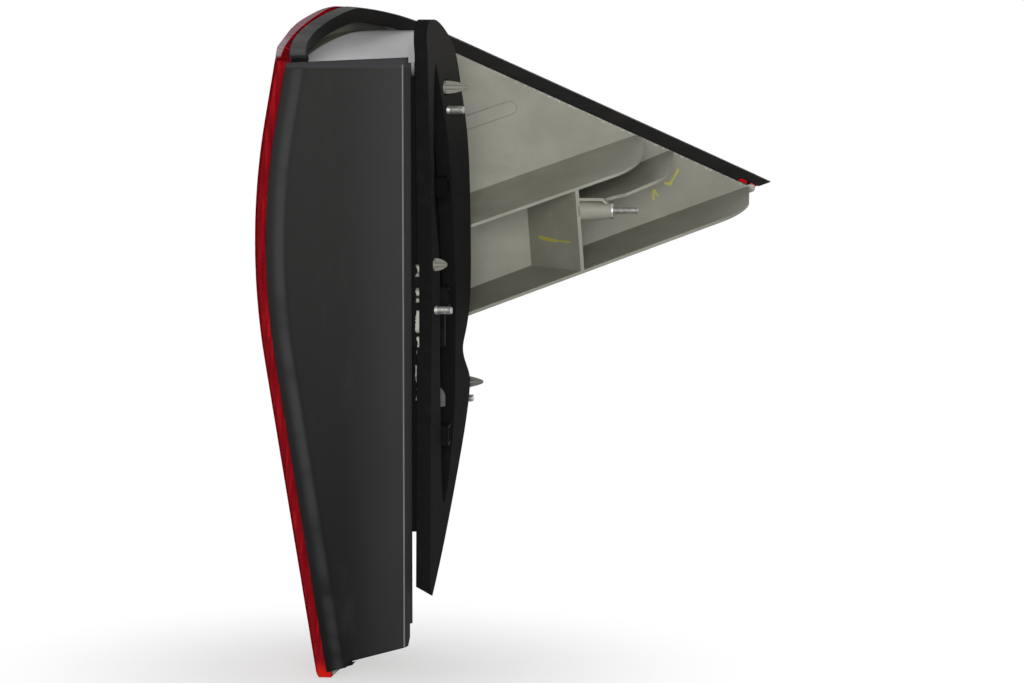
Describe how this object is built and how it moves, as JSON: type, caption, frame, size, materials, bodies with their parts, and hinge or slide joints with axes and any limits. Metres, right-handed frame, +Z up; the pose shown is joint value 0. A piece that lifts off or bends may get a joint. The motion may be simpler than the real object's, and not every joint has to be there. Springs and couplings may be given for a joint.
{
  "type": "tail light cluster",
  "caption": "Wrapped car rear lamp: red lens with a clear window, grey ribbed housing with a pointed wing, dark inboard cover, foam gasket and mounting studs.",
  "frame": {"origin": "on the middle mounting stud's axis, where its free end leaves the shoulder", "axes": "+X forward along the mounting studs, +Y outboard, +Z up"},
  "size_m": [0.3727, 0.2321, 0.4824],
  "materials": {
    "housing_plastic": "matte moulded",
    "red_plastic": "polished, transparent red",
    "clear_plastic": "polished, clear",
    "cover_plastic": "satin, fine grain",
    "foam": "closed-cell foam",
    "sealant": "dull",
    "stud_steel": "zinc plated",
    "metallised": "vacuum metallised plastic",
    "bulb_glass": "clear",
    "bulb_metal": "plain",
    "socket_plastic": "matte",
    "seal_rubber": "dull",
    "terminal_metal": "tinned",
    "vent_rubber": "dull"
  },
  "bodies": {
    "root": {"lamp_housing": "housing_plastic", "red_lens": "red_plastic", "clear_lens": "clear_plastic", "lens_bead": "sealant", "inboard_cover": "cover_plastic", "seal_strip": "foam", "strip_end_pad": "foam", "mounting_gasket": "foam", "mounting_studs": "stud_steel", "wing_stud": "stud_steel", "reflector_bezel": "metallised", "rear_reflex": "red_plastic", "side_reflex": "red_plastic", "reverse_bulb": "bulb_glass", "stop_tail_bulb": "bulb_glass", "turn_signal_bulb": "bulb_glass", "bulb_bases": "bulb_metal", "reverse_socket": "socket_plastic", "stop_tail_socket": "socket_plastic", "turn_signal_socket": "socket_plastic", "reverse_socket_seal": "seal_rubber", "stop_tail_socket_seal": "seal_rubber", "turn_signal_socket_seal": "seal_rubber", "socket_terminals": "terminal_metal", "vent_elbow": "vent_rubber"}
  },
  "joints": []
}
